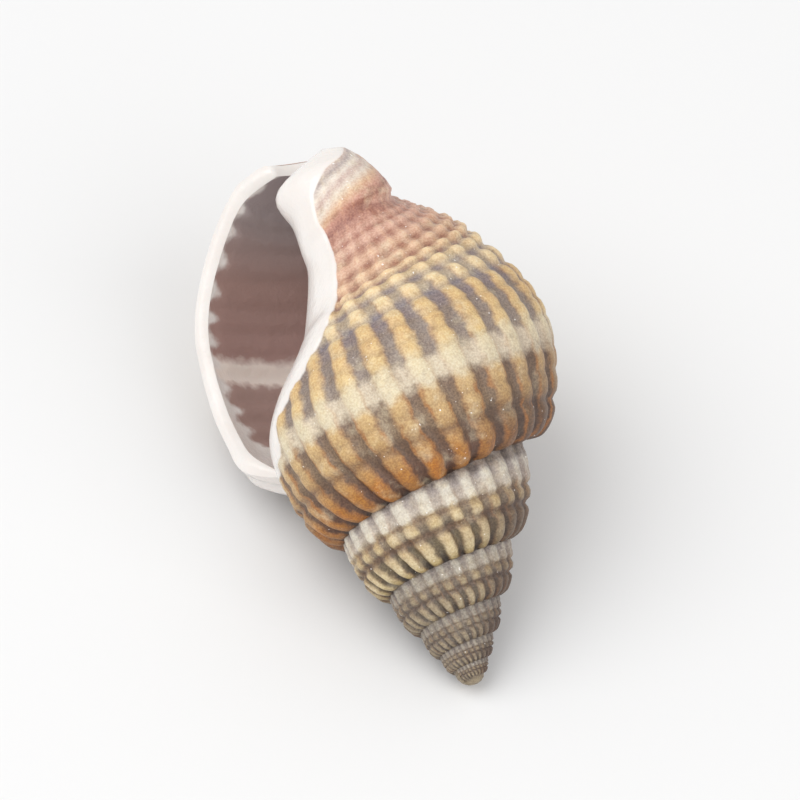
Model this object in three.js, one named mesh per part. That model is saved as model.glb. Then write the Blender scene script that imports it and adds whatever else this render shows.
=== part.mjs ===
// Nassa (dog whelk) shell, about 22 mm long: one grown solid, lying at rest on a surface.
// A whorl section grows by a constant ratio as it turns clockwise round the axis, seen from the apex.
// Turns are counted backwards from the outer lip: 0 at the lip, 1 one whorl earlier, and so on to the apex.
import * as THREE from 'three';

// ---- driving dimensions (millimetres, turns and degrees) ----
const WHORL_RATIO = 1.525;
const LIP_ANGLE = 116;
const TURNS = 5.8;
const CAVITY_TURNS = 0.8;
const NOTCH_TURNS = 0.2;

// Outside of the last whorl at the lip, from the suture over the periphery to the base:
// [radius from the axis, distance below the point that all whorls grow from].
const WHORL_SECTION = [
  [5.04, 11.04], [6.08, 11.52], [6.92, 12.64], [7.48, 14.24], [7.76, 16.0],
  [7.64, 17.68], [6.96, 19.44], [5.76, 21.36], [4.56, 22.72],
];
// Inside of the same wall, from the top of the aperture to its base.
const LUMEN_SECTION = [
  [5.6, 11.92], [6.36, 12.88], [6.88, 14.32], [7.16, 16.0],
  [7.04, 17.56], [6.44, 19.12], [5.32, 20.88], [4.24, 22.08],
];
// Neck, fasciole and canal end below the base: turns, then five [radius, distance] points.
// From one turn on they are the columella inside the aperture.
const COLUMELLA_SECTIONS = [
  { turns: 0.0, points: [[3.92, 23.04], [3.52, 23.16], [3.28, 23.2], [3.04, 23.2], [2.8, 23.12]] },
  { turns: 0.1, points: [[3.36, 22.72], [3.04, 22.96], [2.72, 23.08], [2.4, 23.12], [2.08, 23.04]] },
  { turns: 0.2, points: [[2.48, 22.08], [2.16, 22.48], [1.84, 22.72], [1.44, 22.88], [1.04, 22.92]] },
  { turns: 0.3, points: [[2.12, 21.12], [2.0, 21.6], [1.72, 22.16], [1.28, 22.64], [0.72, 22.92]] },
  { turns: 0.43, points: [[1.98, 20.24], [1.92, 20.8], [1.64, 21.44], [1.2, 22.08], [0.6, 22.76]] },
  { turns: 0.68, points: [[2.04, 19.44], [2.24, 20.24], [2.0, 21.2], [1.36, 22.08], [0.68, 22.8]] },
  { turns: 0.93, points: [[2.07, 17.9], [2.07, 19.1], [2.17, 20.3], [2.55, 21.6], [1.04, 22.64]] },
  { turns: 1.0, points: [[2.0, 17.6], [1.98, 18.8], [2.1, 20.1], [2.3, 21.3], [1.08, 22.52]] },
  { turns: 1.1, points: [[1.78, 17.3], [1.74, 18.7], [1.76, 20.16], [1.6, 21.2], [1.12, 22.32]] },
  { turns: 1.2, points: [[1.6, 17.04], [1.44, 18.24], [1.36, 19.6], [1.28, 20.72], [1.08, 21.92]] },
];
// Inner edge of the outer wall round the siphonal notch, from the lip to where it meets the columella.
const NOTCH_INNER_EDGE = [[2.64, 22.64], [1.92, 22.48], [1.08, 21.92]];
const CANAL_TIP = [0.35, 23.0];
const APEX_DEPTH = 0.72;

// How far forward of the periphery the lip meets the suture, and how the last suture wanders.
const LIP_LEAD_TURNS = 0.06;
const LEAD_REACH_TURNS = 0.25;
// The lip flares out by these shares of its radius, one for each section point, over this many turns.
const LIP_FLARE = [0, 0.12, 0.07, 0.06, 0.055, 0.055, 0.055, 0.05, 0.03];
const FLARE_REACH = 0.12;
// The wall behind the inner lip is hollowed by these shares of its radius, round this turn.
const INNER_HOLLOW = [0, 0, 0, 0, 0, 0, 0.04, 0.14, 0.08];
const HOLLOW_TURN = 0.92;
const HOLLOW_REACH = 0.2;
const SUTURE_DEPTH = 16.56;
const SUTURE_DROP = 1.28;
const SUTURE_CLIMB = 1.4;
const CALLUS_THICKNESS = 0.16;
const RIM_BULGE = 0.3;

// Resting attitude: turn about the shell's own axis, tip of the apex below level, heading on the surface.
const REST_ROLL = -166.6;
const REST_DIP = 28.4;
const REST_HEADING = 0;

// ---- mesh density ----
const COLUMNS = 30;
const ROWS = 26;
const SUTURE_ROW = 9;
const WALL_ROWS = 2;

// ---- helpers for curves ----
const mix = (a, b, w) => a + (b - a) * w;
const smooth = (x) => {
  const w = THREE.MathUtils.clamp(x, 0, 1);
  return w * w * (3 - 2 * w);
};
const bell = (x) => Math.exp(-x * x);
const bump = (x) => (Math.abs(x) < 1 ? (1 - x * x) ** 2 : 0);
const toVectors = (points) => points.map(([x, y]) => new THREE.Vector2(x, y));

// Depth at which a whorl's suture lies on the whorl before it, at lip scale.
function sutureDepth(turns) {
  return SUTURE_DEPTH + SUTURE_DROP * bell((turns - 0.4) / 0.22) - SUTURE_CLIMB * bell(turns / 0.07);
}

// Place of that depth along the section curve, from 0 at the suture to 1 at the canal end.
function sutureShare(turns) {
  const [above, below] = [WHORL_SECTION[4][1], WHORL_SECTION[5][1]];
  const knots = WHORL_SECTION.length + 4;
  return (4 + (sutureDepth(turns) - above) / (below - above)) / knots;
}

// Columella points at any turn: a smooth curve through the sections above, then plain growth.
function columellaAt(turns) {
  const list = COLUMELLA_SECTIONS;
  const last = list[list.length - 1];
  if (turns >= last.turns) {
    const scale = WHORL_RATIO ** (last.turns - turns);
    return last.points.map(([r, d]) => new THREE.Vector2(r * scale, d * scale));
  }
  const start = Math.max(0, list.findLastIndex((item) => item.turns <= turns));
  const slope = (k, i, c) => {
    const [a, b] = [Math.max(0, k - 1), Math.min(list.length - 1, k + 1)];
    return (list[b].points[i][c] - list[a].points[i][c]) / (list[b].turns - list[a].turns);
  };
  const span = list[start + 1].turns - list[start].turns;
  const w = Math.max(0, turns - list[start].turns) / span;
  const value = (i, c) => {
    const [p, q] = [list[start].points[i][c], list[start + 1].points[i][c]];
    const [m, n] = [slope(start, i, c) * span, slope(start + 1, i, c) * span];
    const [w2, w3] = [w * w, w * w * w];
    return (2 * w3 - 3 * w2 + 1) * p + (w3 - 2 * w2 + w) * m + (3 * w2 - 2 * w3) * q + (w3 - w2) * n;
  };
  return last.points.map((_, i) => new THREE.Vector2(value(i, 0), value(i, 1)));
}

// Outside of the shell at a turn, at a share of the way from the suture to the canal end.
const flare = (turns, k) => 1 + LIP_FLARE[k] * bump(turns / FLARE_REACH);
const hollow = (turns, k) => 1 - INNER_HOLLOW[k] * bump((turns - HOLLOW_TURN) / HOLLOW_REACH);

function outsideAt(turns, share) {
  const scale = WHORL_RATIO ** -turns;
  const whorl = toVectors(WHORL_SECTION);
  const suture = sutureDepth(turns) / WHORL_RATIO;
  whorl[1].y += 0.35 * (suture - whorl[0].y);
  whorl[0].y = suture;
  whorl.forEach((point) => point.multiplyScalar(scale));
  whorl.forEach((point, k) => (point.x *= flare(turns, k) * hollow(turns, k)));
  const curve = new THREE.SplineCurve([...whorl, ...columellaAt(turns)]);
  const point = curve.getPoint(share);
  const onCallus = smooth((turns - 0.8) / 0.1) * smooth((1.3 - turns) / 0.2) * smooth((share - 0.45) / 0.1);
  point.x += CALLUS_THICKNESS * onCallus * smooth((1 - share) / 0.15);
  return point;
}

// Inside of the outer wall, from the top corner of the cavity to its canal end.
function insideAt(turns, share, corner, end) {
  const scale = WHORL_RATIO ** -turns;
  const wall = toVectors(LUMEN_SECTION).map((point) => point.multiplyScalar(scale));
  wall.forEach((point, k) => (point.x *= flare(turns, k + 1)));
  return new THREE.SplineCurve([corner, ...wall, end]).getPoint(share);
}

function place(turns, point) {
  const angle = THREE.MathUtils.degToRad(LIP_ANGLE + 360 * turns);
  return new THREE.Vector3(point.x * Math.sin(angle), -point.x * Math.cos(angle), -point.y);
}

// ---- mesh: columns run back from the lip, rows run down from the suture ----
const vertices = [];
const faces = [];
const addVertex = (point) => vertices.push(point) - 1;
const addTriangle = (a, b, c) => faces.push([a, b, c]);
const addQuad = (a, b, c, d) => {
  const acrossFirst = vertices[a].distanceTo(vertices[c]) < vertices[b].distanceTo(vertices[d]);
  if (acrossFirst) {
    addTriangle(a, b, c);
    addTriangle(a, c, d);
  } else {
    addTriangle(a, b, d);
    addTriangle(b, c, d);
  }
};

const lastColumn = Math.round(TURNS * COLUMNS);
const cavityColumns = Math.round(CAVITY_TURNS * COLUMNS);
const notchColumns = Math.round(NOTCH_TURNS * COLUMNS);
const wallRow = SUTURE_ROW + WALL_ROWS;

// The share and the turn of a mesh point: rows bend so that the suture row follows the real suture,
// and columns bend forward near the suture at the lip.
function shareOf(column, row) {
  const turns = column / COLUMNS;
  const middle = sutureShare(2);
  const early = mix(sutureShare(0), middle, smooth((1 - turns) / 0.3));
  const suture = turns >= 1 ? sutureShare(turns - 1) : early;
  if (row <= SUTURE_ROW) return (suture * row) / SUTURE_ROW;
  return suture + ((1 - suture) * (row - SUTURE_ROW)) / (ROWS - SUTURE_ROW);
}
function turnsOf(column, row) {
  const turns = column / COLUMNS;
  const atLip = (1 - Math.min(1, row / SUTURE_ROW)) ** 1.6 * bump(turns / LEAD_REACH_TURNS);
  const nearSuture = 1 - Math.min(1, Math.abs(row - SUTURE_ROW) / (row < SUTURE_ROW ? SUTURE_ROW : 7));
  const oneTurnBack = nearSuture * bump((turns - 1) / LEAD_REACH_TURNS);
  return turns - LIP_LEAD_TURNS * (turns < 0.5 ? atLip : oneTurnBack);
}
const outsidePoint = (column, row) => {
  const turns = turnsOf(column, row);
  return place(turns, outsideAt(turns, shareOf(column, row)));
};

// Outside sheet, which carries on inside the aperture as parietal wall and columella.
const sheet = [];
for (let column = lastColumn; column >= 0; column -= 1) {
  sheet[column] = [];
  const rows = column > COLUMNS + cavityColumns ? SUTURE_ROW : ROWS;
  for (let row = 0; row <= rows; row += 1) {
    const shared = row === 0 && column + COLUMNS <= lastColumn;
    sheet[column][row] = shared ? sheet[column + COLUMNS][SUTURE_ROW] : addVertex(outsidePoint(column, row));
  }
}
for (let column = 0; column < lastColumn; column += 1) {
  for (let row = 0; row < ROWS; row += 1) {
    const onOutside = column < COLUMNS || row < SUTURE_ROW;
    const inCavity = row >= wallRow && column < COLUMNS + cavityColumns;
    if (onOutside || inCavity) {
      const [a, b] = [sheet[column], sheet[column + 1]];
      addQuad(a[row], a[row + 1], b[row + 1], b[row]);
    }
  }
}

// Inside of the outer wall.
const lining = [];
for (let column = 0; column <= cavityColumns; column += 1) {
  lining[column] = [sheet[column + COLUMNS][wallRow]];
  const cornerTurns = turnsOf(column + COLUMNS, wallRow);
  const corner = outsideAt(cornerTurns, shareOf(column + COLUMNS, wallRow));
  const inNotch = column < notchColumns;
  const edge = new THREE.SplineCurve(toVectors(NOTCH_INNER_EDGE)).getPoint(Math.min(1, column / notchColumns));
  const end = inNotch ? edge : outsideAt(1 + column / COLUMNS, 1);
  for (let row = 1; row <= ROWS; row += 1) {
    const turns = turnsOf(column, row);
    const isShared = row === ROWS && !inNotch;
    const point = () => addVertex(place(turns, insideAt(turns, row / ROWS, corner, end)));
    lining[column][row] = isShared ? sheet[column + COLUMNS][ROWS] : point();
  }
}
for (let column = 0; column < cavityColumns; column += 1) {
  for (let row = 0; row < ROWS; row += 1) {
    const [a, b] = [lining[column], lining[column + 1]];
    addQuad(a[row + 1], a[row], b[row], b[row + 1]);
  }
}

// Rounded edge between the two sheets: along the lip, then round the siphonal notch.
function rimRow(outer, inner, forward) {
  const row = [outer];
  for (let step = 1; step < WALL_ROWS; step += 1) {
    const [a, b] = [vertices[outer], vertices[inner]];
    const point = a.clone().lerp(b, step / WALL_ROWS);
    point.addScaledVector(forward, RIM_BULGE * a.distanceTo(b));
    row.push(addVertex(point));
  }
  return [...row, inner];
}
const rims = [];
for (let row = 0; row <= ROWS; row += 1) {
  const back = vertices[sheet[1][row]].clone();
  const forward = vertices[sheet[0][row]].clone().sub(back).normalize();
  const corner = sheet[COLUMNS].slice(SUTURE_ROW, wallRow + 1);
  rims.push(row === 0 ? corner : rimRow(sheet[0][row], lining[0][row], forward));
}
const DOWN = new THREE.Vector3(0, 0, -1);
for (let column = 1; column <= notchColumns; column += 1) {
  rims.push(rimRow(sheet[column][ROWS], lining[column][ROWS], DOWN));
}
for (let k = 0; k + 1 < rims.length; k += 1) {
  for (let step = 0; step < WALL_ROWS; step += 1) {
    const [a, b] = [rims[k], rims[k + 1]];
    addQuad(b[step], a[step], a[step + 1], b[step + 1]);
  }
}

// Closing fans: canal tip, inner end of the cavity, and apex.
function addFan(loop, centre) {
  const hub = addVertex(centre);
  loop.forEach((vertex, k) => addTriangle(vertex, loop[(k + 1) % loop.length], hub));
}
const tipLoop = [];
for (let column = notchColumns + COLUMNS; column >= notchColumns; column -= 1) {
  tipLoop.push(sheet[column][ROWS]);
}
tipLoop.push(...rims[rims.length - 1].slice(1, WALL_ROWS));
addFan(tipLoop, new THREE.Vector3(CANAL_TIP[0], 0, -CANAL_TIP[1]));

const cavityLoop = lining[cavityColumns].slice(1).reverse();
cavityLoop.push(...sheet[COLUMNS + cavityColumns].slice(wallRow, ROWS));
const cavityMiddle = new THREE.Vector3();
cavityLoop.forEach((vertex) => cavityMiddle.addScaledVector(vertices[vertex], 1 / cavityLoop.length));
addFan(cavityLoop, cavityMiddle);

const apexLoop = [];
for (let column = lastColumn - COLUMNS; column < lastColumn; column += 1) apexLoop.push(sheet[column][0]);
apexLoop.push(...sheet[lastColumn].slice(0, SUTURE_ROW));
addFan(apexLoop, new THREE.Vector3(0, 0, -APEX_DEPTH));

// ---- the solid, turned to its resting attitude, with the middle of its footprint at the origin ----
const geometry = new THREE.BufferGeometry();
geometry.setAttribute('position', new THREE.Float32BufferAttribute(vertices.flatMap((p) => p.toArray()), 3));
geometry.setIndex(faces.flat());
geometry.rotateZ(THREE.MathUtils.degToRad(REST_ROLL));
geometry.rotateX(THREE.MathUtils.degToRad(90 + REST_DIP));
geometry.rotateZ(THREE.MathUtils.degToRad(REST_HEADING));
geometry.computeBoundingBox();
const { min, max } = geometry.boundingBox;
geometry.translate(-(min.x + max.x) / 2, -(min.y + max.y) / 2, -min.z);
geometry.computeVertexNormals();

const shellMaterial = new THREE.MeshStandardMaterial({ color: 0xb79a6b, roughness: 0.5, metalness: 0 });
const shell = new THREE.Mesh(geometry, shellMaterial);
shell.name = 'shell';

const group = new THREE.Group();
group.add(shell);
export default group;
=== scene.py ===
import math

import bpy
import numpy as np
from mathutils import Matrix, Quaternion, Vector


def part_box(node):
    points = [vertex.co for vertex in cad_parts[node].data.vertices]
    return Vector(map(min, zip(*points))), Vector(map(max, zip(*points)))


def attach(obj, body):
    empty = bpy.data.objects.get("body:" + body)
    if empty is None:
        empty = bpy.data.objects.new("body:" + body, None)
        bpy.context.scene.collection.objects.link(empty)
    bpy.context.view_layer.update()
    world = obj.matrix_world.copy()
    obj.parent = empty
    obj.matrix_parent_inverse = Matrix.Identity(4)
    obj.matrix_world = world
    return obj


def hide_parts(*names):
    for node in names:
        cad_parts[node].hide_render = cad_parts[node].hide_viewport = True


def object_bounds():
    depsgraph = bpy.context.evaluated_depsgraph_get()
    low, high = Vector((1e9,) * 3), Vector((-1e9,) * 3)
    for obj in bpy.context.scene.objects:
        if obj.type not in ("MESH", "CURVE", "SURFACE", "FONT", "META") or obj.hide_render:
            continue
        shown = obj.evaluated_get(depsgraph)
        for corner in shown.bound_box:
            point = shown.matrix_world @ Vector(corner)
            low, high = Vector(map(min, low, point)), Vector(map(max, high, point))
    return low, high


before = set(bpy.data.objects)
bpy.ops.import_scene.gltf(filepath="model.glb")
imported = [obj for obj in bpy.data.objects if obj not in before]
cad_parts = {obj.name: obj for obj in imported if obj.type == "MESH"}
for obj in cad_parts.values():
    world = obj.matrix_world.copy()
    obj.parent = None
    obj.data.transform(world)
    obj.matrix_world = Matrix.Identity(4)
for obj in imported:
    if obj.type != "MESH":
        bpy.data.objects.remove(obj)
CAD_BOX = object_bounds()
MM = 0.001

# ---------------------------------------------------------------------------------------------
# Camera. It looks down on the resting shell from its left front, with a long lens, so that the
# spire points down to the right and the aperture opens at the upper left.
# ---------------------------------------------------------------------------------------------
CAMERA_AZIMUTH = math.radians(-21.1)
CAMERA_ELEVATION = math.radians(50.4)
CAMERA_ROLL = math.radians(3.8)
CAMERA_LENS = 250
CAMERA_DISTANCE = 220 * MM

low, high = (Vector(corner) for corner in CAD_BOX)
camera_target = (low + high) / 2
camera_way = Vector((
    math.sin(CAMERA_AZIMUTH) * math.cos(CAMERA_ELEVATION),
    -math.cos(CAMERA_AZIMUTH) * math.cos(CAMERA_ELEVATION),
    math.sin(CAMERA_ELEVATION),
))
camera_data = bpy.data.cameras.new("camera")
camera_data.lens = CAMERA_LENS
camera_data.clip_start = 1 * MM
camera_data.clip_end = 10
camera = bpy.data.objects.new("camera", camera_data)
bpy.context.collection.objects.link(camera)
camera.location = camera_target + camera_way * CAMERA_DISTANCE
camera.rotation_mode = "QUATERNION"
facing = camera_way.to_track_quat("Z", "Y")
camera.rotation_quaternion = facing @ Quaternion((0, 0, 1), CAMERA_ROLL)
bpy.context.scene.camera = camera

# ---------------------------------------------------------------------------------------------
# Shell. One grown piece of aragonite: a whorl section that grows by a constant ratio as it turns
# round the axis, with axial ribs cut by spiral cords. Its surface follows growth coordinates, so
# it is built from them, as one closed sheet from the apex to the lip and back into the aperture.
# ---------------------------------------------------------------------------------------------
WHORL_RATIO = 1.525
LIP_ANGLE = 116
TURNS = 5.8
CAVITY_TURNS = 0.6
NOTCH_TURNS = 0.2
RIBS = 26

# Section of the last whorl at the lip and of its inside: radius from the axis, depth (mm).
WHORL_SECTION = [
    (5.04, 11.04), (6.08, 11.52), (6.92, 12.64), (7.48, 14.24), (7.76, 16.0),
    (7.64, 17.68), (6.96, 19.44), (5.76, 21.36), (4.56, 22.72),
]
LUMEN_SECTION = [
    (5.6, 11.92), (6.36, 12.88), (6.88, 14.32), (7.16, 16.0),
    (7.04, 17.56), (6.44, 19.12), (5.32, 20.88), (4.24, 22.08),
]
# Neck, fasciole and canal end, by turns back from the lip, then the columella in the aperture.
COLUMELLA_SECTIONS = {
    0.0: [(3.92, 23.04), (3.52, 23.16), (3.28, 23.2), (3.04, 23.2), (2.8, 23.12)],
    0.1: [(3.36, 22.72), (3.04, 22.96), (2.72, 23.08), (2.4, 23.12), (2.08, 23.04)],
    0.2: [(2.48, 22.08), (2.16, 22.48), (1.84, 22.72), (1.44, 22.88), (1.04, 22.92)],
    0.3: [(2.12, 21.12), (2.0, 21.6), (1.72, 22.16), (1.28, 22.64), (0.72, 22.92)],
    0.43: [(1.98, 20.24), (1.92, 20.8), (1.64, 21.44), (1.2, 22.08), (0.6, 22.76)],
    0.68: [(2.04, 19.44), (2.24, 20.24), (2.0, 21.2), (1.36, 22.08), (0.68, 22.8)],
    0.93: [(2.07, 17.9), (2.07, 19.1), (2.17, 20.3), (2.55, 21.6), (1.04, 22.64)],
    1.0: [(2.0, 17.6), (1.98, 18.8), (2.1, 20.1), (2.3, 21.3), (1.08, 22.52)],
    1.1: [(1.78, 17.3), (1.74, 18.7), (1.76, 20.16), (1.6, 21.2), (1.12, 22.32)],
    1.2: [(1.6, 17.04), (1.44, 18.24), (1.36, 19.6), (1.28, 20.72), (1.08, 21.92)],
}
NOTCH_INNER_EDGE = [(2.64, 22.64), (1.92, 22.48), (1.08, 21.92)]
CANAL_TIP = (0.35, 23.0)
APEX_DEPTH = 0.72
LIP_LEAD_TURNS = 0.06
LEAD_REACH_TURNS = 0.25
# Shares of the radius by which the lip flares out and the wall behind the inner lip is hollowed.
LIP_FLARE = np.array([0, 0.12, 0.07, 0.06, 0.055, 0.055, 0.055, 0.05, 0.03])
FLARE_REACH = 0.12
INNER_HOLLOW = np.array([0, 0, 0, 0, 0, 0, 0.04, 0.14, 0.08])
HOLLOW_TURN = 0.92
HOLLOW_REACH = 0.2
SUTURE_DEPTH = 16.56
SUTURE_DROP = 1.28
SUTURE_CLIMB = 1.4
RIM_BULGE = 0.3

# The shell's resting attitude: turn about its own axis, then the apex dips below level.
REST_ROLL = math.radians(-166.6)
REST_DIP = math.radians(28.4)

# Mesh columns in a turn, and the section knot that each block of rows ends at. A knot is a place
# along the section: 0 at the suture, 8 at the base, 9 at the neck, 13 at the canal end.
COLUMNS = 240
SUTURE_ROW = 36
WALL_ROWS = 3
ROW_BLOCKS = [(50, 6.3), (86, 9.0), (108, 13.0)]
LAST_KNOT = 13.0


def smooth(x):
    w = np.clip(x, 0, 1)
    return w * w * (3 - 2 * w)


def bell(x):
    return np.exp(-x * x)


def bump(x):
    return np.where(np.abs(x) < 1, (1 - x * x) ** 2, 0)


def along(points, place):
    """Points on a Catmull-Rom curve; points is (..., n, 2) and place runs from 0 to n - 1."""
    count = points.shape[-2]
    start = np.clip(np.floor(place).astype(int), 0, count - 2)
    w = (place - start)[..., None]

    def knot(k):
        k = np.clip(k, 0, count - 1)[..., None, None]
        return np.take_along_axis(points, np.broadcast_to(k, k.shape[:-1] + (2,)), -2)[..., 0, :]

    p0, p1, p2, p3 = knot(start - 1), knot(start), knot(start + 1), knot(start + 2)
    v0, v1 = (p2 - p0) / 2, (p3 - p1) / 2
    return (2 * p1 - 2 * p2 + v0 + v1) * w**3 + (3 * p2 - 3 * p1 - 2 * v0 - v1) * w**2 + v0 * w + p1


def suture_depth(turns):
    drop = SUTURE_DROP * bell((turns - 0.4) / 0.22)
    return SUTURE_DEPTH + drop - SUTURE_CLIMB * bell(turns / 0.07)


def suture_knot(turns):
    above, below = WHORL_SECTION[4][1], WHORL_SECTION[5][1]
    return 4 + (suture_depth(turns) - above) / (below - above)


def columella(turns):
    """The five points below the base at each turn: a smooth curve through the sections above."""
    stations = np.array(list(COLUMELLA_SECTIONS))
    values = np.array(list(COLUMELLA_SECTIONS.values()))
    before, after = np.maximum(np.arange(len(stations)) - 1, 0), np.arange(len(stations)) + 1
    after = np.minimum(after, len(stations) - 1)
    slopes = (values[after] - values[before]) / (stations[after] - stations[before])[:, None, None]
    inside = np.clip(turns, 0, stations[-1])
    k = np.clip(np.searchsorted(stations, inside, side="right") - 1, 0, len(stations) - 2)
    span = (stations[k + 1] - stations[k])[..., None, None]
    w = (inside - stations[k])[..., None, None] / span
    point = (2 * w**3 - 3 * w**2 + 1) * values[k] + (w**3 - 2 * w**2 + w) * slopes[k] * span
    point += (3 * w**2 - 2 * w**3) * values[k + 1] + (w**3 - w**2) * slopes[k + 1] * span
    growth = WHORL_RATIO ** (np.minimum(stations[-1] - turns, 0))
    return point * growth[..., None, None]


def flare(turns):
    return 1 + LIP_FLARE * bump(turns / FLARE_REACH)[..., None]


def hollow(turns):
    return 1 - INNER_HOLLOW * bump((turns - HOLLOW_TURN) / HOLLOW_REACH)[..., None]


def outside(turns, knot):
    """Radius and depth (mm) of the shell's outside at each turn and section knot."""
    scale = (WHORL_RATIO ** -turns)[..., None, None]
    whorl = np.broadcast_to(np.array(WHORL_SECTION), turns.shape + (9, 2)).copy()
    suture = suture_depth(turns) / WHORL_RATIO
    whorl[..., 1, 1] += 0.35 * (suture - whorl[..., 0, 1])
    whorl[..., 0, 1] = suture
    whorl[..., 0] *= flare(turns) * hollow(turns)
    return along(np.concatenate([whorl * scale, columella(turns)], -2), knot)


def place(turns, section):
    angle = np.radians(LIP_ANGLE + 360 * turns)
    radius, depth = section[..., 0], section[..., 1]
    return np.stack([radius * np.sin(angle), -radius * np.cos(angle), -depth], -1)


# Grid of columns (back from the lip) and rows (down from the suture).
last_column = round(TURNS * COLUMNS)
cavity_columns = round(CAVITY_TURNS * COLUMNS)
notch_columns = round(NOTCH_TURNS * COLUMNS)
wall_row = SUTURE_ROW + WALL_ROWS
rows = ROW_BLOCKS[-1][0]
column_grid, row_grid = np.meshgrid(np.arange(last_column + 1), np.arange(rows + 1), indexing="ij")
column_turns = column_grid / COLUMNS

early = 1 - smooth((1 - column_turns) / 0.3)
middle_knot = suture_knot(np.array(2.0))
own_knot = suture_knot(np.maximum(column_turns - 1, 0))
suture_at = middle_knot + (own_knot - middle_knot) * early
knot_grid = suture_at * np.minimum(row_grid / SUTURE_ROW, 1)
block_start, knot_start = SUTURE_ROW, suture_at
for block_end, knot_end in ROW_BLOCKS:
    share = np.clip((row_grid - block_start) / (block_end - block_start), 0, 1)
    knot_grid = np.where(row_grid > block_start, knot_start + (knot_end - knot_start) * share, knot_grid)
    block_start, knot_start = block_end, knot_end

at_lip = (1 - np.minimum(1, row_grid / SUTURE_ROW)) ** 1.6 * bump(column_turns / LEAD_REACH_TURNS)
reach = np.where(row_grid < SUTURE_ROW, SUTURE_ROW, 26)
near_suture = 1 - np.minimum(1, np.abs(row_grid - SUTURE_ROW) / reach)
one_turn_back = near_suture * bump((column_turns - 1) / LEAD_REACH_TURNS)
turn_grid = column_turns - LIP_LEAD_TURNS * np.where(column_turns < 0.5, at_lip, one_turn_back)

# Ribs lean forward towards the suture: how far, in degrees of turn, at each section knot.
RIB_LEAD = [(0, 16), (1.5, 11.5), (2.35, 7), (3.15, 4), (4, 1.4), (4.5, 0), (5.35, -1.2), (5.9, -2.4),
            (6.3, -4), (7, -8), (8, -13), (9, -16), (13, -16)]
# Spiral grooves that cut the ribs into beads: section knot, depth and width at lip scale (mm).
GROOVES = [(2.3, 0.16, 0.17), (3.1, 0.08, 0.13), (3.75, 0.05, 0.12), (4.6, 0.06, 0.1), (5.2, 0.07, 0.1),
           (5.75, 0.08, 0.1), (6.3, 0.15, 0.11), (6.85, 0.19, 0.11), (7.35, 0.2, 0.11), (7.8, 0.19, 0.1),
           (8.15, 0.16, 0.08), (8.45, 0.14, 0.07), (8.7, 0.12, 0.06), (8.9, 0.1, 0.05), (9.1, 0.1, 0.09),
           (9.6, 0.04, 0.12), (10.2, 0.045, 0.12), (10.9, 0.05, 0.12), (11.6, 0.045, 0.12),
           (12.3, 0.04, 0.12)]
RIB_HEIGHT = 0.36
RIB_START = 0.1
RIB_STRENGTH = [(0, 0.1), (0.3, 0.8), (1, 1.15), (2.2, 0.9), (4, 0.8), (5.5, 0.8), (6.3, 0.8), (7.5, 0.7),
                (8.3, 0.45), (8.9, 0.2), (9.1, 0), (13, 0)]
CALLUS_THICKNESS = 0.14


def table(points, value):
    knots, values = zip(*points)
    return np.interp(value, knots, values)


def callus_edge(depth):
    """Turns back from the lip at which the inner lip's callus ends, at a depth in mm: steady beside
    the columella, further back towards the suture, and swept forward round the canal."""
    above, near_suture = np.maximum(17 - depth, 0), np.clip(11.6 - depth, 0, 1.4)
    towards_suture = np.minimum(0.0055 * above**2, 0.12) + 0.0485 * near_suture**2
    round_canal = 0.05 * np.clip(depth - 20.9, 0, 1) + 0.2 * np.clip(depth - 21.9, 0, 1.1)
    return 0.735 + towards_suture + 0.033 * smooth((depth - 17.7) / 2.1) - round_canal


section = outside(turn_grid, knot_grid)
base = place(turn_grid, section)
scale_grid = WHORL_RATIO ** -turn_grid
lead = table(RIB_LEAD, knot_grid)
rib_phase = RIBS * (turn_grid + lead / 360) + RIB_START

# Each rib is a little higher or lower, or further on, than the next.
chance = np.random.default_rng(7)
rib_count = int(rib_phase.max()) + 3
rib_gain = np.interp(rib_phase, np.arange(-3, rib_count), 1 + 0.14 * chance.standard_normal(rib_count + 3))
rib_shift = np.interp(rib_phase, np.arange(-3, rib_count), 0.05 * chance.standard_normal(rib_count + 3))
wave = 0.5 + 0.5 * np.cos(2 * np.pi * (rib_phase + rib_shift))
narrow = 2.1 - 0.9 * smooth((knot_grid - 3.6) / 1.4)
rib = 1 - (1 - wave) ** narrow

edge_width = 0.012 + 0.05 * smooth((section[..., 1] - 20.5) / 1.5)
callus = smooth((turn_grid - callus_edge(section[..., 1])) / edge_width + 0.5)
callus *= smooth((section[..., 1] - 10.2) / 0.3) * (column_turns < 1.6)
callus = np.where((row_grid < SUTURE_ROW - 2) & (column_turns > 0.97), 0, callus)
in_cavity = (column_grid >= COLUMNS) & (row_grid >= wall_row)
callus = np.where(in_cavity, 1, callus)

groove = np.zeros_like(knot_grid)
for knot, depth, width in GROOVES:
    cut = depth * bell((knot_grid - knot) / width)
    on_spire = {2.3: 0.6, 3.1: 1.4}.get(knot, 0)
    groove += cut * (1 + on_spire * smooth((column_turns - 0.9) / 0.5))
rib_relief = RIB_HEIGHT * rib_gain * table(RIB_STRENGTH, knot_grid) * (rib - 0.45)
relief = rib_relief - 1.25 * groove * (0.4 + 0.6 * rib)
relief *= scale_grid ** 0.8 * smooth(column_turns / 0.03)
height = relief * (1 - callus) + CALLUS_THICKNESS * callus * smooth((LAST_KNOT - knot_grid) / 2)

step_column = np.gradient(base, axis=0)
step_row = np.gradient(base, axis=1)
normal = np.cross(step_row, step_column)
normal /= np.maximum(np.linalg.norm(normal, axis=-1, keepdims=True), 1e-9)
sheet_points = base + normal * height[..., None]

# Vertices, each with its growth coordinates, and faces with one uv pair per corner.
points = []
faces = []
face_maps = []


def add_points(new):
    first = len(points)
    points.extend(np.asarray(new, float).reshape(-1, 3))
    return first


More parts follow.
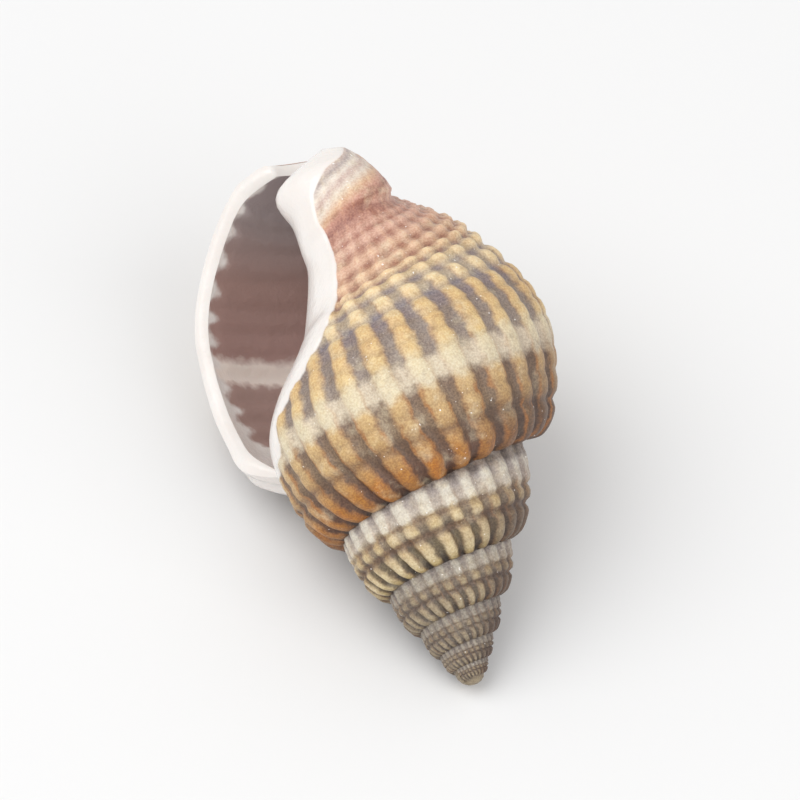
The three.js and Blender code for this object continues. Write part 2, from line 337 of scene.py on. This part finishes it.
sheet = np.full((last_column + 1, rows + 1), -1)
for column in range(last_column, -1, -1):
    last_row = SUTURE_ROW if column > COLUMNS + cavity_columns else rows
    shared = column + COLUMNS <= last_column
    first_row = 1 if shared else 0
    start = add_points(sheet_points[column, first_row:last_row + 1])
    sheet[column, first_row:last_row + 1] = np.arange(start, start + last_row + 1 - first_row)
    if shared:
        sheet[column, 0] = sheet[column + COLUMNS, SUTURE_ROW]


def grid_quads(ids, maps, flip, keep):
    """Quads over a grid of vertex numbers; maps is (columns, rows, 4)."""
    turn = [(0, 0), (0, 1), (1, 1), (1, 0)]
    if flip:
        turn = [(0, 1), (0, 0), (1, 0), (1, 1)]
    columns, height_rows = ids.shape
    corner_ids = np.stack([ids[i:columns - 1 + i, j:height_rows - 1 + j] for i, j in turn], -1)
    corner_maps = np.stack([maps[i:columns - 1 + i, j:height_rows - 1 + j] for i, j in turn], -2)
    faces.extend(corner_ids[keep].tolist())
    face_maps.append(corner_maps[keep])


# The stripes of the fasciole run more steeply than the cords above them.
stripe_drift = 6.5 * (turn_grid - 0.7) * smooth((knot_grid - 9) / 0.6)
stripe_knot = np.clip(knot_grid + stripe_drift, np.minimum(knot_grid, 8.7), LAST_KNOT)
sheet_maps = np.stack([rib_phase + rib_shift, stripe_knot, turn_grid, np.zeros_like(turn_grid)], -1)
c, r = column_grid[:-1, :-1], row_grid[:-1, :-1]
on_outside = (c < COLUMNS) | (r < SUTURE_ROW)
inside_wall = (r >= wall_row) & (c >= COLUMNS) & (c < COLUMNS + cavity_columns)
sheet_maps[..., 3] = np.where(in_cavity, 1, 0)
grid_quads(sheet, sheet_maps, False, on_outside | inside_wall)

# Lining: the inside of the outer wall, with fine white ridges (lirae) behind the lip.
lining_columns = slice(0, cavity_columns + 1)
back_columns = slice(COLUMNS, COLUMNS + cavity_columns + 1)
lining_turns = turn_grid[lining_columns]
corner_point = section[back_columns, wall_row]
end_point = section[back_columns, rows].copy()
notch_edge = along(np.array([NOTCH_INNER_EDGE] * (notch_columns + 1)),
                   np.linspace(0, 2, notch_columns + 1))
end_point[:notch_columns] = notch_edge[:notch_columns]
lumen = np.array(LUMEN_SECTION) * (WHORL_RATIO ** -lining_turns[:, 30])[:, None, None]
lumen[..., 0] *= flare(lining_turns[:, 30])[:, 1:]
lining_share = np.interp(knot_grid[lining_columns], [0, 8, LAST_KNOT], [0, 8, 9]) / 9
lining_control = np.concatenate([corner_point[:, None], lumen, end_point[:, None]], 1)
lining_control = np.broadcast_to(lining_control[:, None], lining_turns.shape + (10, 2))
lining_section = along(lining_control, lining_share * 9)
lining_base = place(lining_turns, lining_section)
LIRAE = 15
LIRA_HEIGHT = 0.13
lira = 0.5 + 0.5 * np.cos(2 * np.pi * LIRAE * lining_share)
lira_reach = smooth(lining_turns / 0.02) * (1 - smooth((lining_turns - 0.05) / 0.1))
lira_reach = lira_reach * smooth((lining_share - 0.12) / 0.08) * smooth((0.93 - lining_share) / 0.06)
lining_normal = -np.cross(np.gradient(lining_base, axis=1), np.gradient(lining_base, axis=0))
lining_normal /= np.maximum(np.linalg.norm(lining_normal, axis=-1, keepdims=True), 1e-9)
lining_points = lining_base + lining_normal * (LIRA_HEIGHT * lira * lira_reach)[..., None]
lining = np.full((cavity_columns + 1, rows + 1), -1)
lining[:, 0] = sheet[back_columns, wall_row]
for column in range(cavity_columns + 1):
    own_rows = rows if column >= notch_columns else rows + 1
    start = add_points(lining_points[column, 1:own_rows])
    lining[column, 1:own_rows] = np.arange(start, start + own_rows - 1)
    if column >= notch_columns:
        lining[column, rows] = sheet[column + COLUMNS, rows]
lining_maps = np.stack([lining_turns * RIBS, lining_share * LAST_KNOT, lining_turns,
                        np.full_like(lining_turns, 2.0)], -1)
grid_quads(lining, lining_maps, True, np.ones((cavity_columns, rows), bool))

# Rounded rim along the lip and round the siphonal notch.
rim = [sheet[COLUMNS, SUTURE_ROW:wall_row + 1].tolist()]


def rim_row(outer, inner, forward):
    a, b = np.array(points[outer]), np.array(points[inner])
    row = [outer]
    for step in range(1, WALL_ROWS):
        share = step / WALL_ROWS
        out = RIM_BULGE * math.sin(math.pi * share) * np.linalg.norm(b - a)
        row.append(add_points(a + (b - a) * share + forward * out))
    return row + [inner]


for row in range(1, rows + 1):
    forward = sheet_points[0, row] - sheet_points[2, row]
    rim.append(rim_row(sheet[0, row], lining[0, row], forward / np.linalg.norm(forward)))
for column in range(1, notch_columns + 1):
    rim.append(rim_row(sheet[column, rows], lining[column, rows], np.array([0, 0, -1.0])))
rim = np.array(rim)
rim_maps = np.zeros(rim.shape + (4,))
rim_maps[..., 3] = 3
grid_quads(rim, rim_maps, True, np.ones((len(rim) - 1, WALL_ROWS), bool))


def add_fan(loop, centre, maps):
    hub = add_points(centre)
    for k, vertex in enumerate(loop):
        faces.append([int(vertex), int(loop[(k + 1) % len(loop)]), hub])
        face_maps.append(np.broadcast_to(np.array(maps, float), (1, 3, 4)))


tip_loop = list(sheet[notch_columns:notch_columns + COLUMNS + 1, rows][::-1]) + list(rim[-1][1:WALL_ROWS])
add_fan(tip_loop, (CANAL_TIP[0], 0, -CANAL_TIP[1]), (0, LAST_KNOT, 0.7, 0))
cavity_loop = list(lining[cavity_columns, 1:][::-1])
cavity_loop += list(sheet[COLUMNS + cavity_columns, wall_row:rows])
add_fan(cavity_loop, np.mean([points[vertex] for vertex in cavity_loop], 0), (0, 6, 0.8, 2))
apex_loop = list(sheet[last_column - COLUMNS:last_column, 0]) + list(sheet[last_column, :SUTURE_ROW])
apex_rim = np.array([points[vertex] for vertex in apex_loop])
for spread, rise in ((0.9, 0.42), (0.66, 0.75), (0.34, 0.94)):
    ring_points = apex_rim * (spread, spread, 1)
    ring_points[:, 2] += (-APEX_DEPTH - apex_rim[:, 2]) * rise
    first = add_points(ring_points)
    ring = list(range(first, first + len(apex_loop)))
    for k, vertex in enumerate(apex_loop):
        after = (k + 1) % len(apex_loop)
        faces.append([int(vertex), int(apex_loop[after]), ring[after], ring[k]])
        face_maps.append(np.broadcast_to(np.array((0, 1, TURNS, 0), float), (1, 4, 4)))
    apex_loop = ring
add_fan(apex_loop, (0, 0, -APEX_DEPTH), (0, 1, TURNS, 0))

# Turn to the resting attitude and set down where the frame's node lies.
turn = Matrix.Rotation(math.pi / 2 + REST_DIP, 3, "X") @ Matrix.Rotation(REST_ROLL, 3, "Z")
coords = np.array(points) @ np.array(turn).T * MM
node_low, node_high = (np.array(corner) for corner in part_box("shell"))
offset = (node_low + node_high) / 2 - (coords.min(0) + coords.max(0)) / 2
offset[2] = node_low[2] - coords[:, 2].min()
coords += offset

mesh = bpy.data.meshes.new("nassa_shell")
mesh.from_pydata(coords.tolist(), [], faces)
maps = np.concatenate([part.reshape(-1, 4) for part in face_maps])
for name, first in (("ribs", 0), ("place", 2)):
    layer = mesh.uv_layers.new(name=name)
    layer.data.foreach_set("uv", np.ascontiguousarray(maps[:, first:first + 2], np.float32).ravel())


def add_mask(name, values):
    layer = mesh.attributes.new(name, "FLOAT", "POINT")
    layer.data.foreach_set("value", np.asarray(values, np.float32))


used = sheet >= 0
# Masks for the material; points that are not on the outside sheet are callus, but for the apex dome.
callus_mask = np.ones(len(points))
lip_edge = 1 - smooth((column_turns - 0.005 - 0.05 * (1 - smooth(knot_grid / 3))) / 0.02)
callus_mask[sheet[used]] = np.maximum(callus, lip_edge)[used]
callus_mask[-1 - 3 * len(apex_loop):] = 0
inside_mask = np.zeros(len(points))
parietal = in_cavity * smooth((turn_grid - 1.04 - 0.05 * np.sin(row_grid * 0.4)) / 0.1)
inside_mask[sheet[used]] = parietal[used]
# Painted shade: darker in the spiral grooves, more so between the ribs, and a dark line along the suture.
groove_shade_mask = np.zeros(len(points))
groove_shade = smooth(groove / 0.16) * (0.5 + 0.5 * (1 - rib)) + 0.8 * bell(knot_grid / 0.2)
groove_shade_mask[sheet[used]] = groove_shade[used]
add_mask("callus", callus_mask)
add_mask("inside", inside_mask)
add_mask("groove_shade", groove_shade_mask)
mesh.validate(verbose=False)
mesh.update()
shell = bpy.data.objects.new("nassa_shell", mesh)
bpy.context.collection.objects.link(shell)
bpy.ops.object.select_all(action="DESELECT")
shell.select_set(True)
bpy.context.view_layer.objects.active = shell
bpy.ops.object.shade_smooth_by_angle(angle=math.radians(62))

# Shell finish: banded aragonite with a satin, slightly worn skin; the callus is glossy porcelain.


def linear(code):
    values = [int(code[k:k + 2], 16) / 255 for k in (1, 3, 5)]
    return tuple(v / 12.92 if v <= 0.04045 else ((v + 0.055) / 1.055) ** 2.4 for v in values) + (1,)


material = bpy.data.materials.new("banded_aragonite")
material.use_nodes = True
tree = material.node_tree
tree.nodes.clear()


def add_node(kind, inputs=(), stops=(), **settings):
    """Add a node, set its properties and ramp stops, and give its inputs values or links."""
    made = tree.nodes.new(kind)
    for key, value in settings.items():
        setattr(made, key, value)
    for key, value in dict(inputs).items():
        if isinstance(value, bpy.types.NodeSocket):
            tree.links.new(value, made.inputs[key])
        else:
            made.inputs[key].default_value = value
    if stops:
        ramp = made.color_ramp
        while len(ramp.elements) > 1:
            ramp.elements.remove(ramp.elements[-1])
        for k, (position, colour) in enumerate(stops):
            element = ramp.elements[0] if k == 0 else ramp.elements.new(position)
            element.position = position
            element.color = linear(colour)
    return made


def maths(operation, first, second=0.0, third=0.0):
    return add_node("ShaderNodeMath", {0: first, 1: second, 2: third}, operation=operation).outputs[0]


def ease(value, start, end, low=0.0, high=1.0):
    """Smooth step of a value from low at the start to high at the end."""
    inputs = {0: value, 1: start, 2: end, 3: low, 4: high}
    return add_node("ShaderNodeMapRange", inputs, interpolation_type="SMOOTHSTEP").outputs[0]


def mix(factor, first, second, blend="MIX"):
    inputs = {0: factor, 6: first, 7: second}
    return add_node("ShaderNodeMix", inputs, data_type="RGBA", blend_type=blend).outputs[2]


def noise(scale, detail=2.0):
    """Noise between 0 and 1 with a grain of the given size in mm."""
    inputs = {"Vector": shell_coords, "Scale": 1 / (scale * MM), "Detail": detail}
    return add_node("ShaderNodeTexNoise", inputs).outputs["Fac"]


def mask(name):
    return add_node("ShaderNodeAttribute", attribute_name=name).outputs["Fac"]


def bands(knot, pairs):
    stops = [(place_on_section / LAST_KNOT, colour) for place_on_section, colour in pairs]
    return add_node("ShaderNodeValToRGB", {0: knot}, stops).outputs[0]


ribs_map = add_node("ShaderNodeUVMap", uv_map="ribs").outputs[0]
ribs_axes = add_node("ShaderNodeSeparateXYZ", {0: ribs_map}).outputs
place_map = add_node("ShaderNodeUVMap", uv_map="place").outputs[0]
place_axes = add_node("ShaderNodeSeparateXYZ", {0: place_map}).outputs
shell_coords = add_node("ShaderNodeTexCoord").outputs["Object"]
turns_back = place_axes[0]

# Spiral bands by place on the section, shifted a little so that their edges are ragged.
knot_value = maths("DIVIDE", ribs_axes[1], LAST_KNOT)
ragged = maths("MULTIPLY", maths("SUBTRACT", noise(0.5), 0.5), ease(ribs_axes[1], 8.4, 9.6, 0.045, 0.012))
knot_ragged = maths("ADD", ragged, knot_value)
BODY_RIBS = [(0, "#6b4320"), (0.6, "#9a6526"), (1.4, "#a9712f"), (2.0, "#b38a58"), (2.3, "#a07a50"),
             (2.7, "#bf9d6e"), (3.5, "#cbab7c"), (3.85, "#dbceb4"), (4.5, "#dccdae"), (4.8, "#dabd8c"),
             (5.6, "#d6b381"), (6.2, "#dabb8a"), (6.6, "#eed6ad"), (7.3, "#efd3a8"), (7.8, "#eac7a6"),
             (8.2, "#e2baa0"), (8.6, "#dcb2a0"), (8.9, "#cda090"), (9.1, "#a06e62"), (9.55, "#cf9e8e"),
             (10.0, "#dcb79a"), (10.45, "#e8dbcd"), (10.8, "#cfb8b0"), (11.15, "#efe4d8"), (11.55, "#b9adab"),
             (11.95, "#e4d2c8"), (12.4, "#fbf5ee")]
BODY_GAPS = [(0, "#3a2820"), (0.7, "#5b3b29"), (1.5, "#6a4c3c"), (2.3, "#65503f"), (2.8, "#86705a"),
             (3.6, "#7c6656"), (3.9, "#d6c8b2"), (4.35, "#d2c3ae"), (4.6, "#93857c"), (5.6, "#8e8078"),
             (6.1, "#86787a"), (6.5, "#a79888"), (7.2, "#bda886"), (7.6, "#bd9f86"), (8.2, "#b88f7c"),
             (8.8, "#b28474"), (9.1, "#8a5a50"), (9.55, "#c69484"), (10.0, "#d4ab8c"), (10.45, "#dccdbf"),
             (10.8, "#c8b0a8"), (11.15, "#e8dcd0"), (11.55, "#b1a5a3"), (11.95, "#dcc9be"), (12.4, "#f6f0e8")]
SPIRE_RIBS = [(0, "#5a4a3c"), (0.5, "#ab9668"), (1.3, "#d3c19c"), (2.0, "#c0aa86"), (2.35, "#85705a"),
              (2.6, "#c2ae88"), (3.1, "#c0a880"), (3.35, "#d8d0c1"), (4.1, "#d6d0c4"), (4.4, "#a09690"),
              (4.8, "#857974")]
SPIRE_GAPS = [(0, "#2f2622"), (0.7, "#4f4438"), (1.6, "#75674f"), (2.35, "#5f5447"), (2.8, "#8a7a66"),
              (3.2, "#94836c"), (3.5, "#c4b9ad"), (4.1, "#aaa09c"), (4.4, "#726864"), (4.8, "#625855")]
# Colours of the painted shade in the grooves and along the suture, by place on the section.
GROOVE_SHADE_COLOURS = [(0, "#2e231d"), (1.5, "#5b4432"), (2.3, "#6a5140"), (3.6, "#8a7460"), (3.9, "#cdbfaa"),
        (4.4, "#c9bba6"), (4.6, "#94826e"), (5.8, "#8f7c69"), (6.2, "#7f7882"), (7.2, "#8f8688"),
        (7.6, "#9a6c5e"), (8.8, "#9a5f52"), (9.2, "#8f5f55"), (9.6, "#b48c80"), (11.0, "#c3aea4")]

# Dark pigment lies in the gaps between the ribs, wider and narrower by patches, and fades where
# the cords take over from the ribs on the base.
phase = maths("MULTIPLY_ADD", maths("SUBTRACT", noise(0.6), 0.5), 0.22, ribs_axes[0])
rib_wave = maths("COSINE", maths("MULTIPLY", phase, 2 * math.pi))
patch = maths("MULTIPLY_ADD", maths("SUBTRACT", noise(0.4, 3.0), 0.5), 1.5, rib_wave)
gap = maths("MULTIPLY", ease(patch, 0.5, -0.7), ease(ribs_axes[1], 6.3, 8.6, 1.0, 0.15))
body_colour = mix(gap, bands(knot_ragged, BODY_RIBS), bands(knot_ragged, BODY_GAPS))
spire_colour = mix(gap, bands(knot_ragged, SPIRE_RIBS), bands(knot_ragged, SPIRE_GAPS))
outside_colour = mix(ease(turns_back, 1.1, 1.4), body_colour, spire_colour)
# Painted shade darkens the grooves and the suture line.
outside_colour = mix(maths("MULTIPLY", mask("groove_shade"), 0.9), outside_colour, bands(knot_ragged, GROOVE_SHADE_COLOURS))
# Rib tips below the suture are orange on some ribs; patches all over are paler or browner.
tips = maths("MULTIPLY", ease(ribs_axes[1], 2.3, 0.8), ease(noise(1.1), 0.45, 0.6))
tips = maths("MULTIPLY", tips, maths("MULTIPLY", ease(patch, -0.1, 0.9), ease(turns_back, 1.2, 1.0)))
tips = maths("MULTIPLY", tips, ease(turns_back, 0.48, 0.58))
tips = maths("MULTIPLY", tips, ease(turns_back, 0.74, 0.86, 1.0, 0.35))
outside_colour = mix(maths("MULTIPLY", tips, 0.75), outside_colour, linear("#b06a1c"))
outside_colour = mix(ease(noise(0.8, 3.0), 0.5, 0.75, 0.0, 0.4), outside_colour, linear("#ded0b4"))
outside_colour = mix(ease(noise(0.45, 4.0), 0.52, 0.8, 0.0, 0.4), outside_colour, linear("#7d6350"))
# Older whorls are weathered grey; the side away from the aperture is cooler and darker, partly its own colour
# and partly painted shade.
outside_colour = mix(ease(turns_back, 1.9, 3.1, 0.0, 0.72), outside_colour, linear("#675e58"))
cool_top = ease(ribs_axes[1], 3.4, 4.6, 0.7, 0.18)
round_axis = maths("COSINE", maths("MULTIPLY_ADD", turns_back, 2 * math.pi, -0.5 * math.pi))
side_shade = maths("MULTIPLY", ease(round_axis, -0.8, 0.4), cool_top)
outside_colour = mix(side_shade, outside_colour, linear("#a89c9f"), "MULTIPLY")
# Painted shade, partly the shell's own colour: the shoulder on the side away from the aperture is darkened.
shoulder_shade = maths("MULTIPLY", ease(round_axis, -0.75, 0.05), ease(ribs_axes[1], 3.4, 1.6, 0.0, 0.85))
outside_colour = mix(shoulder_shade, outside_colour, linear("#4e3c33"))
# Rust stains line the gaps, strongest on the shoulder of the whorl.
stain = maths("MULTIPLY", gap, maths("SUBTRACT", 1.0, gap))
stain = maths("MULTIPLY", stain, ease(noise(0.9), 0.4, 0.65, 0.5, 2.4))
stain = maths("MULTIPLY", stain, ease(turns_back, 1.3, 1.0, 0.25, 1.0))
stain_here = ease(ribs_axes[1], 3.4, 4.0, 1.0, 0.35)
outside_colour = mix(maths("MULTIPLY", stain, stain_here), outside_colour, linear("#b07236"))
# Painted highlight: the crests of the ribs are lightened towards cream, by patches.
crest_highlight = maths("MULTIPLY", ease(patch, 0.2, 1.3, 0.0, 0.4), ease(noise(0.3), 0.35, 0.65))
outside_colour = mix(crest_highlight, outside_colour, linear("#f6ead0"), "SOFT_LIGHT")
grain = ease(noise(0.08, 2.0), 0.3, 0.7)
outside_colour = mix(0.35, outside_colour, mix(grain, linear("#4a3c32"), linear("#fdf6e8")), "SOFT_LIGHT")
# Painted glints: tiny near-white specks scattered over the outside.
painted_glint = ease(noise(0.16, 1.0), 0.76, 0.785, 0.0, 0.8)
outside_colour = mix(painted_glint, outside_colour, linear("#fbf8f4"))

# White callus, and the brown interior with its pale band behind the outer lip.
callus_colour = mix(noise(1.6), linear("#f6f2ee"), linear("#ece4de"))
inside_bands = [(0, "#ab9088"), (4.6, "#b3968e"), (5.2, "#b89c94"), (5.5, "#fbeee4"), (6.1, "#f6e8de"),
                (6.5, "#b4938c"), (9.0, "#b09189"), (11.0, "#a89a98"), (13.0, "#aca0a2")]
inside_colour = bands(knot_ragged, inside_bands)
# The brown starts behind the white lip in a comb of teeth between the ridges.
ridge = maths("COSINE", maths("MULTIPLY", ribs_axes[1], 2 * math.pi * LIRAE / LAST_KNOT))
behind_lip = maths("MULTIPLY_ADD", ridge, -0.005, maths("MULTIPLY_ADD", noise(0.4), -0.016, turns_back))
behind_lip = maths("ADD", behind_lip, ease(ribs_axes[1], 1.6, 2.6, -0.3, 0.0))
lining_factor = maths("MULTIPLY", ease(behind_lip, -0.01, 0.003), maths("COMPARE", place_axes[1], 2.0, 0.1))
inside_factor = maths("MAXIMUM", mask("inside"), lining_factor)
colour = mix(ease(mask("callus"), 0.35, 0.65), outside_colour, callus_colour)
colour = mix(inside_factor, colour, inside_colour)
roughness = ease(mask("callus"), 0.3, 0.7, 0.46, 0.22)
bump_height = maths("ADD", maths("MULTIPLY", noise(0.12, 3.0), 0.5), noise(0.35, 2.0))
bump_node = add_node("ShaderNodeBump", {"Strength": 0.5, "Distance": 0.05 * MM, "Height": bump_height})
shader = add_node("ShaderNodeBsdfPrincipled", {
    "Base Color": colour, "Roughness": roughness, "IOR": 1.53, "Normal": bump_node.outputs[0],
    "Subsurface Weight": 0.1, "Subsurface Radius": (1.0, 0.75, 0.6), "Subsurface Scale": 0.4 * MM,
})
add_node("ShaderNodeOutputMaterial", {0: shader.outputs[0]})
mesh.materials.append(material)
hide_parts("shell")
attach(shell, "root")

# ---------------------------------------------------------------------------------------------
# Floor and light: a white sheet, a broad soft key light from above on the left, a weaker fill light
# from the near right and an even sky.
# ---------------------------------------------------------------------------------------------
bpy.ops.object.select_all(action="DESELECT")
bpy.ops.mesh.primitive_plane_add(size=2)
floor = bpy.context.object
floor.name = "floor"
paper = bpy.data.materials.new("white_paper")
paper.use_nodes = True
paper.node_tree.nodes["Principled BSDF"].inputs["Base Color"].default_value = linear("#ededed")
paper.node_tree.nodes["Principled BSDF"].inputs["Roughness"].default_value = 0.8
floor.data.materials.append(paper)


def add_light(name, way, distance, size, power):
    data = bpy.data.lights.new(name, "AREA")
    data.shape = "DISK"
    data.size = size
    data.energy = power
    light = bpy.data.objects.new(name, data)
    bpy.context.collection.objects.link(light)
    direction = Vector(way).normalized()
    light.location = camera_target + direction * distance
    light.rotation_mode = "QUATERNION"
    light.rotation_quaternion = direction.to_track_quat("Z", "Y")


add_light("key", (-0.51, 0.06, 0.86), 0.4, 0.42, 0.88)
add_light("fill", (0.38, -0.69, 0.62), 0.4, 0.4, 0.5)
world = bpy.data.worlds.new("sky")
world.use_nodes = True
world.node_tree.nodes["Background"].inputs[0].default_value = (1, 1, 1, 1)
world.node_tree.nodes["Background"].inputs[1].default_value = 0.62
bpy.context.scene.world = world
bpy.context.scene.view_settings.view_transform = "Standard"
